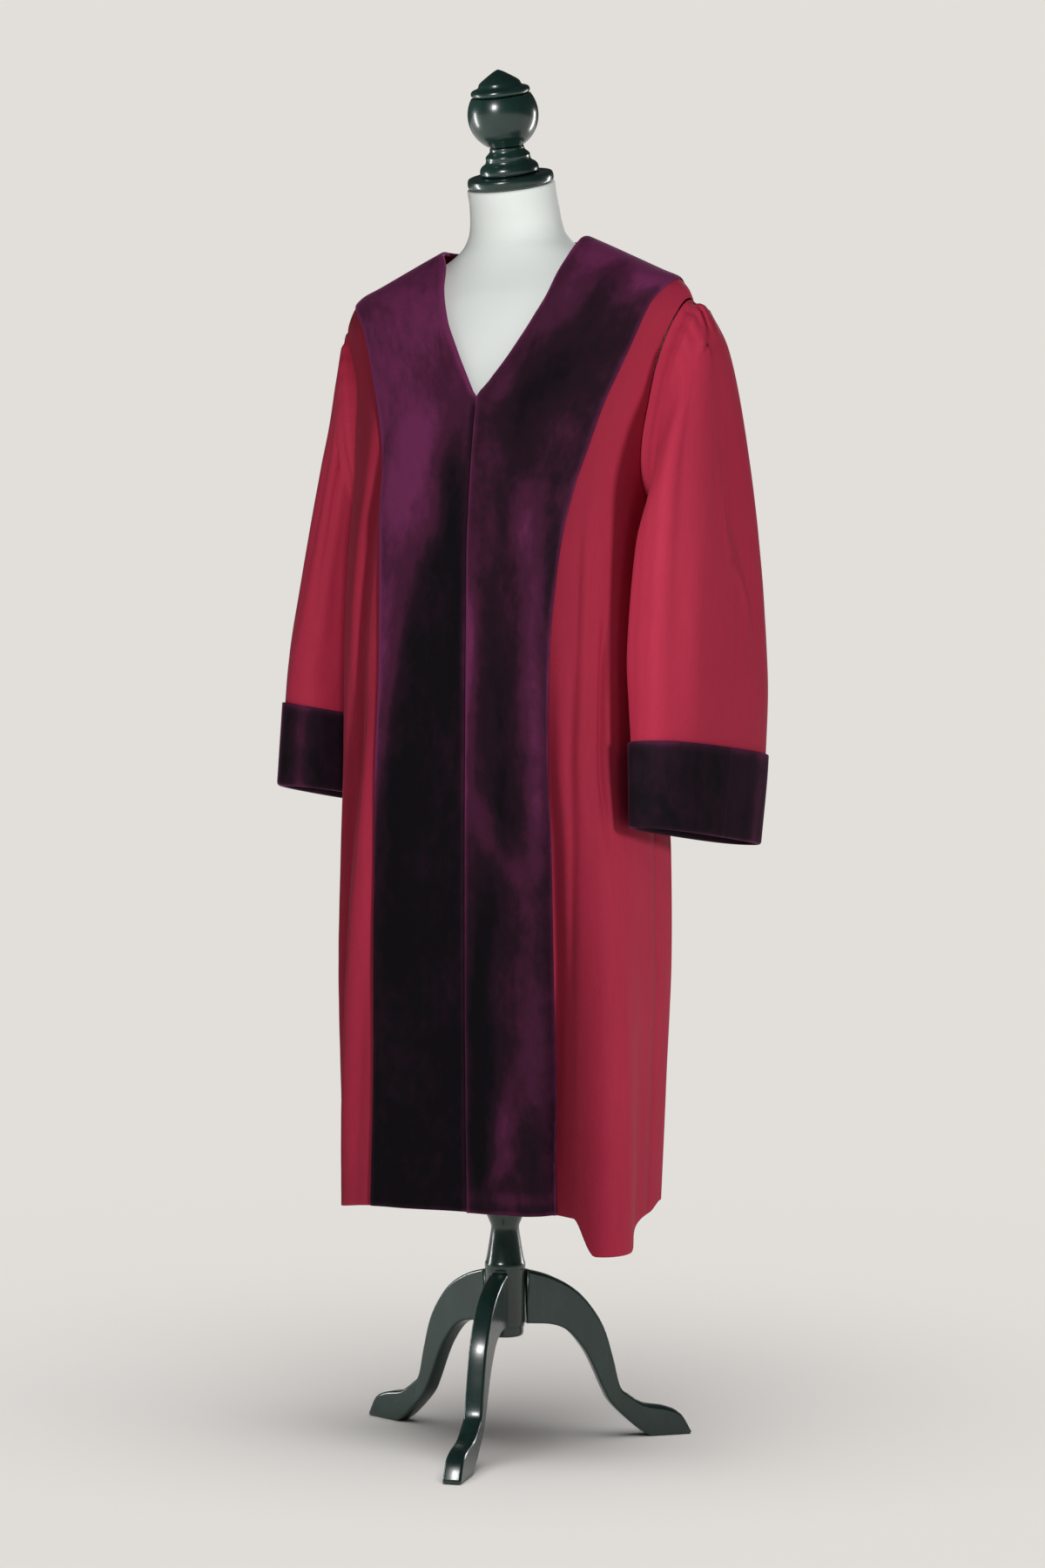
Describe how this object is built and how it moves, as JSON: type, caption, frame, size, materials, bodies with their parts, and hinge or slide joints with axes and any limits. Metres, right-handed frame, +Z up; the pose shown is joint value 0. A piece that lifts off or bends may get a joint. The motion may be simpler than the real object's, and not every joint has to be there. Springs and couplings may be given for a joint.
{
  "type": "judicial robe on dress form",
  "caption": "Open-front judge's robe of wool with wide velvet front bands and turned-back cuffs, worn on a limbless dress form that stands on a turned column and cut legs.",
  "frame": {"origin": "on the floor, under the middle of the whole object's box", "axes": "+Z up; the robe's front faces -Y; the wearer's left is +X"},
  "size_m": [0.6214, 0.4108, 1.6976],
  "materials": {
    "wool": "crimson plain-weave wool, matte with a slight sheen",
    "velvet": "deep purple velvet, dark face on, lighter at grazing angles",
    "jersey": "smooth white jersey cover",
    "wood": "turned wood, black-green gloss paint"
  },
  "bodies": {
    "root": {"front_left": "wool", "front_right": "wool", "back": "wool", "sleeve_left": "wool", "sleeve_right": "wool", "velvet_left": "velvet", "velvet_right": "velvet", "velvet_back": "velvet", "cuff_left": "velvet", "cuff_right": "velvet", "form_torso": "jersey", "neck_disc": "wood", "finial_base": "wood", "finial_ball": "wood", "finial_top": "wood", "column": "wood", "leg_front": "wood", "leg_left": "wood", "leg_right": "wood"}
  },
  "joints": []
}
